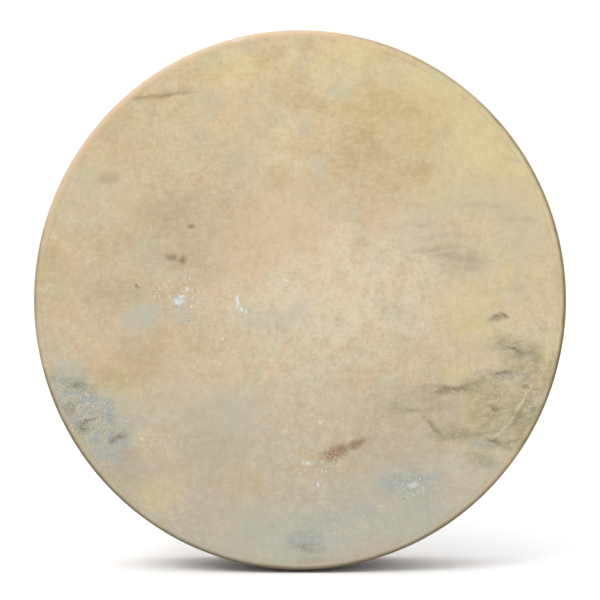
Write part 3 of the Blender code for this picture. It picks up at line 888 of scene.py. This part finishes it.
# Scorched-looking streaks and spots, specks, and flecks of dried salt
streak_places = [
    (131, -75, 17, 2.4, 0.8, -5), (118, -78, 9, 2.2, 0.7, 8), (111, -106, 12, 2, 0.6, -43),
    (94, -93, 10, 2, 0.5, -3), (148, -113, 12, 1.8, 0.4, 6), (164, -120, 10, 2.2, 0.8, -22),
    (178, -119, 12, 1.8, 0.6, 15), (166, -14, 4.4, 2.4, 1, -10), (173, -13, 5.4, 2.6, 1, -25),
    (-108, 36, 7, 3, 0.9, -8), (-99, 34, 4.6, 4.6, 1), (-92, 62, 3.8, 3, 1), (-115, 173, 34, 2.2, 0.6, 7),
    (-187, -72, 10, 2.6, 0.6, 10), (-180, -102, 10, 2.2, 0.8, 20), (-153, -116, 9, 2.4, 0.9, 8),
    (-158, -119, 5, 3, 0.9), (-192, -94, 3.4, 6, 0.5), (-183, -109, 5, 3.6, 0.6, 20),
    (-209, -66, 2.4, 5, 0.5, 20), (181, -42, 9, 2.6, 0.9, -20), (173, -61, 10, 2, 0.9, 6),
    (164, -92, 4, 3, 0.9), (186, -98, 5, 7, 0.5), (-138, 12, 2.4, 2.4, 1), (192, -74, 10, 2, 0.8, -10),
]
scorch = marks([(27, -130, 12, 8, 1, 12), (34, -127, 11, 7, 1, 20), (47, -122, 12, 5, 1, 25)])
hide_colour = hide_colour.dye(scorch * fine_rag.step(0.34, 0.6, 0.7, 1.1) * 0.85, paint(144, 117, 82))
streaks = marks(streak_places) * fine_rag.step(0.34, 0.56, 0.45, 1.15)
hide_colour = hide_colour.dye(streaks * 0.72, paint(122, 105, 76))
specks = place.speckle(0.42, 1.0).step(0.66, 0.78) * (hide.field("specks") * 0.9 + 0.1)
hide_colour = hide_colour.dye(specks * 0.7, paint(118, 104, 76))
flecks = place.vector("ADD", (50.0, 0.0, 20.0)).speckle(0.75).step(0.61, 0.67) * hide.field("flecks")
hide_colour = hide_colour.dye(flecks * 0.9, paint(226, 222, 210))
salt_places = [
    (-103, -1, 5.4, 3.6, 1), (-100, 3, 3.0, 2.0, 0.9), (-53, -1, 2.0, 7.0, 1), (-50, -8, 1.8, 2.7, 0.9),
    (-12, 16, 1.4, 1.4, 1), (-43, 19, 1.4, 1.4, 0.8), (-92, -6, 1.2, 1.2, 1), (-66, -33, 1.4, 1.2, 0.9),
    (-45, -10, 1.4, 1.4, 0.9), (-133, -117, 1.2, 1.1, 0.9), (-126, -122, 1.2, 0.9, 0.8),
    (-53, 220, 7.6, 2.1, 0.8, 12), (96, -157, 5, 3.4, 0.55), (7, -138, 2.6, 1.8, 0.8),
    (18, -103, 1.4, 1.4, 0.7), (15, -156, 1.5, 2.1, 0.7), (-96, 9, 2.1, 3.3, 0.8), (3, -137, 1.2, 1.8, 0.7),
]
salt = marks(salt_places) * flat.speckle(1.1, 4.0, 0.7).step(0.38, 0.52, 0.3, 1.15)
hide_colour = hide_colour.dye(salt * 0.95, paint(226, 230, 230))

# Creases of the dried skin: pale on their crests, with a few grey folds
crease_places = [
    (194, -75, 9, 1.1, 0.8, 62), (186, -89, 11, 1.5, 1, 62), (179, -102, 8, 1.4, 0.7, 57),
    (168, -113, 9, 1.2, 0.7, 40), (209, -44, 18, 1.2, 0.7, 88), (202, -88, 9, 0.9, 0.6, 65),
    (35, -194, 13, 0.9, 0.6, -32), (181, -122, 9, 1.1, 0.4, 28),
]
creases = marks(crease_places)
hide_colour = hide_colour.dye(creases * 0.7, paint(222, 212, 166))
folds = marks([(69, -99, 11, 1.1, 0.6, 58), (82, -82, 9, 0.9, 0.6, 48), (147, -144, 9, 1.1, 0.3, 30)])
hide_colour = hide_colour.dye(folds * 0.5, paint(150, 142, 120))

# The rim: the wood behind the skin warms it there, in a band that is strongest at the upper left,
# where it is partly painted highlight. Its outermost edge is darker, partly handling dirt and partly
# painted shade, most at the right and lower edges.
flesh = hide.field("flesh_side")
depth = place.axis("Y") - head_face * 1000
to_rim = flat.vector("MULTIPLY", (0.001 / half_width, 0, 0.001 / half_height))
inset = (1 - to_rim.vector("LENGTH", output="Value")) * (half_width * 1000) + (blotch - 0.5) * 3.0
# Painted shade and handling dirt: the rim's outer edge is darkened, most at the right and lower edges
rim_dirt_and_shade = hide.field("rim_dirt_and_shade") * depth.step(6.0, 2.0, 0.2, 1.0)
# Partly painted highlight: the band over the wood is lightest at the upper left, where the light falls
over_wood = inset.step(7.0, 4.6) * (hide.field("warm_band_and_highlight") * 0.6 + 0.1)
wood_edge = inset.step(5.6, 6.8) * inset.step(9.0, 7.2)
hide_colour = (
    hide_colour.dye(over_wood, paint(211, 178, 144))
    .dye(wood_edge * 0.12, paint(168, 142, 104))
    # Painted shade with some dirt: the outermost rounded edge is darkened all round, more at the right and
    # lower edges
    .dye(inset.step(5.0, 2.4) * (rim_dirt_and_shade * 0.6 + 0.1), paint(172, 155, 114))
    .dye(inset.step(3.2, 1.5) * (rim_dirt_and_shade * 0.8 + 0.12), paint(124, 109, 82))
)

# The side, drawn tight between the tacks
on_side = depth.step(0.8, 5.0) * (1.0 - flesh)
round_side = flat.vector("NORMALIZE").vector("MULTIPLY", (225.0, 0.0, 225.0))
pulled = round_side.vector("ADD", place.vector("MULTIPLY", (0.0, 0.16, 0.0))).speckle(0.3, 5.0, 0.62)
hide_colour = (
    hide_colour.dye(on_side * ragged.step(0.3, 0.65, 0.7, 0.35), paint(192, 165, 122))
    .dye(on_side * pulled.step(0.52, 0.36) * 0.4, paint(150, 124, 86))
    .dye(on_side * pulled.step(0.54, 0.7) * 0.4, paint(224, 208, 172))
)

# The flesh side, seen from behind: warmer and lighter, partly a painted glow of the light that comes
# through the skin, and cloudier, with short soft fibres
fibre = lie.speckle((0.3, 0.0, 0.12), 4.0, 0.6)
# Partly painted glow: the flesh side's warm, light colour stands in for light shining through the skin
hide_colour = (
    hide_colour.dye(flesh * 0.45, paint(222, 192, 146))
    .dye(flesh * blotch.step(0.5, 0.34) * 0.3, paint(190, 152, 100))
    .dye(flesh * cast.step(0.5, 0.66) * 0.35, paint(228, 208, 172))
    .dye(flesh * fibre.step(0.5, 0.66) * 0.16, paint(180, 144, 96))
)

grit = grainy * 0.9 + pore * 0.35
skin_height = grit + creases * 2.0 + blotch * 1.4 - folds + on_side * pulled * 5.0
wire(Base_Color=hide_colour, Roughness=grainy * 0.22 + 0.46, Normal=skin_height.bump(0.5, 0.00022))
head = add_piece("goatskin_head", head_rows, skin, "head", fields=head_fields, sharp=60)


# Trim strip: a narrow ribbon of brown leather that covers the skin's cut edge. It is pulled tight round
# the hoop, held by the tacks that go through it, and its two ends meet in a square butt.
trim_low, trim_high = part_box("trim_strip")
trim_out = trim_high.x - half_width
trim_thickness = 0.0012
trim_in = trim_out - trim_thickness
trim_width = trim_high.y - trim_low.y
trim_middle = (trim_high.y + trim_low.y) / 2
trim_ends_at = 19 * tack_pitch
trim_stations = len(tack_names) * 20
edge_round = 0.0005
tack_pull = 0.011
butt_gap = 0.00025


def from_tack(angle, along):
    """Distance from the middle of the nearest tack, over the strip."""
    nearest = (math.floor(angle / tack_pitch) + 0.5) * tack_pitch
    return math.hypot((angle - nearest) * half_width, along - trim_middle)


def strip_section(angle):
    """The strip's section: rounded cut edges, drawn down round a tack and puffed up between tacks."""
    points = []
    for share in [-1, -0.97, -0.9, -0.72, -0.45, -0.2, 0, 0.2, 0.45, 0.72, 0.9, 0.97, 1]:
        along = trim_middle + share * trim_width / 2
        round_off = edge_round * max(0, abs(share) - 0.72) ** 2 / 0.28**2
        near = min(1, from_tack(angle, along) / tack_pull)
        puff = 0.00022 * near * near * (1 - share**2) - 0.00018 * (1 - near) ** 2
        lump = 0.00008 * noise.noise(Vector((angle * 60, along * 300, 5)))
        points.append((trim_out - round_off + puff + lump, along))
    points += [(trim_in, trim_middle + share * trim_width / 2) for share in (0.97, 0.5, 0, -0.5, -0.97)]
    return points


leather, tan, wire = start_material("brown_leather")
spot = tan.new("TexCoord", output="Object")
warp = spot.speckle(60.0, output="Color").vector("MULTIPLY", (0.004, 0.004, 0.004))
cells = {"Vector": spot.vector("ADD", warp), "Scale": 950.0}
pebble = tan.new("TexVoronoi", {"feature": "DISTANCE_TO_EDGE"}, cells)
shade = spot.speckle(45.0, 4.0, 0.6)
scuff = spot.speckle(260.0, 4.0, 0.65).step(0.56, 0.74)
burnish = (spot.axis("Y") - trim_middle).math("ABSOLUTE").step(trim_width * 0.44, trim_width * 0.5)
leather_colour = (
    tan.plain(0.1, 0.049, 0.025)
    .dye(shade.step(0.35, 0.7), (0.155, 0.08, 0.042))
    .dye(pebble.step(0.12, 0.0) * 0.55, (0.04, 0.02, 0.011))
    .dye(scuff * 0.4, (0.26, 0.155, 0.085))
    .dye(burnish * 0.6, (0.05, 0.024, 0.013))
)
leather_bump = (pebble.step(0.0, 0.22) + shade * 0.6).bump(0.7, 0.00012)
wire(Base_Color=leather_colour, Roughness=0.42 + scuff * 0.25 + shade * 0.15, Normal=leather_bump)

trim_start = trim_ends_at + butt_gap / half_width
trim_turn = 2 * (math.pi - butt_gap / half_width)
trim_rows = []
for station in range(trim_stations + 1):
    angle = trim_start + trim_turn * station / trim_stations
    trim_rows.append([hoop_point(angle, out, along) for out, along in strip_section(angle)])
add_piece("leather_trim", trim_rows, leather, "trim_strip", sharp=50)


# Tacks: domed upholstery tacks of pressed brass. Each is hammered through the leather and the skin into
# the shell, so no two sit quite alike: they lean a little, and their domes carry small dents.
tack_low, tack_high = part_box("tack_01")
tack_row = (tack_low.y + tack_high.y) / 2
tack_seat = trim_out + 0.00005
tack_head_radius = 0.0047
tack_head_height = 0.0022
tack_rim = 0.0003
tack_shank_radius = 0.0007
tack_length = 0.0085
most_lean = 1.2
dent_depth = 0.00005
hammer = random.Random(28)

tack_profile = [(turned_point, tack_head_height)]
for share in [step / 9 for step in range(1, 10)]:
    dome = (tack_head_height - tack_rim) * math.sqrt(1 - share**2.3)
    tack_profile.append((tack_head_radius * share, tack_rim + dome))
tack_profile += [
    (tack_head_radius, 0), (tack_head_radius - 0.0004, 0), (tack_head_radius - 0.0006, tack_rim),
    (tack_shank_radius, 0.0006), (tack_shank_radius, -tack_length * 0.7), (0.00005, -tack_length),
]
for number, name in enumerate(tack_names):
    lean = Matrix.Rotation(math.radians(hammer.uniform(-most_lean, most_lean)), 4, "X")
    lean = lean @ Matrix.Rotation(math.radians(hammer.uniform(-most_lean, most_lean)), 4, "Y")
    place = seat_matrix((number + 0.5) * tack_pitch, tack_seat, tack_row, hammer.uniform(0, 6.28)) @ lean
    blows = Vector((hammer.uniform(0, 9), hammer.uniform(0, 9), 0))

    def dent(radius, height, turn):
        spot = blows + Vector((radius * math.cos(turn), radius * math.sin(turn), 0)) * 420
        return dent_depth * noise.noise(spot) if height > tack_rim else 0

    add_turned(f"brass_{name}", name, tack_profile, place, 0.0002, tack_head_height * 0.75, dent)
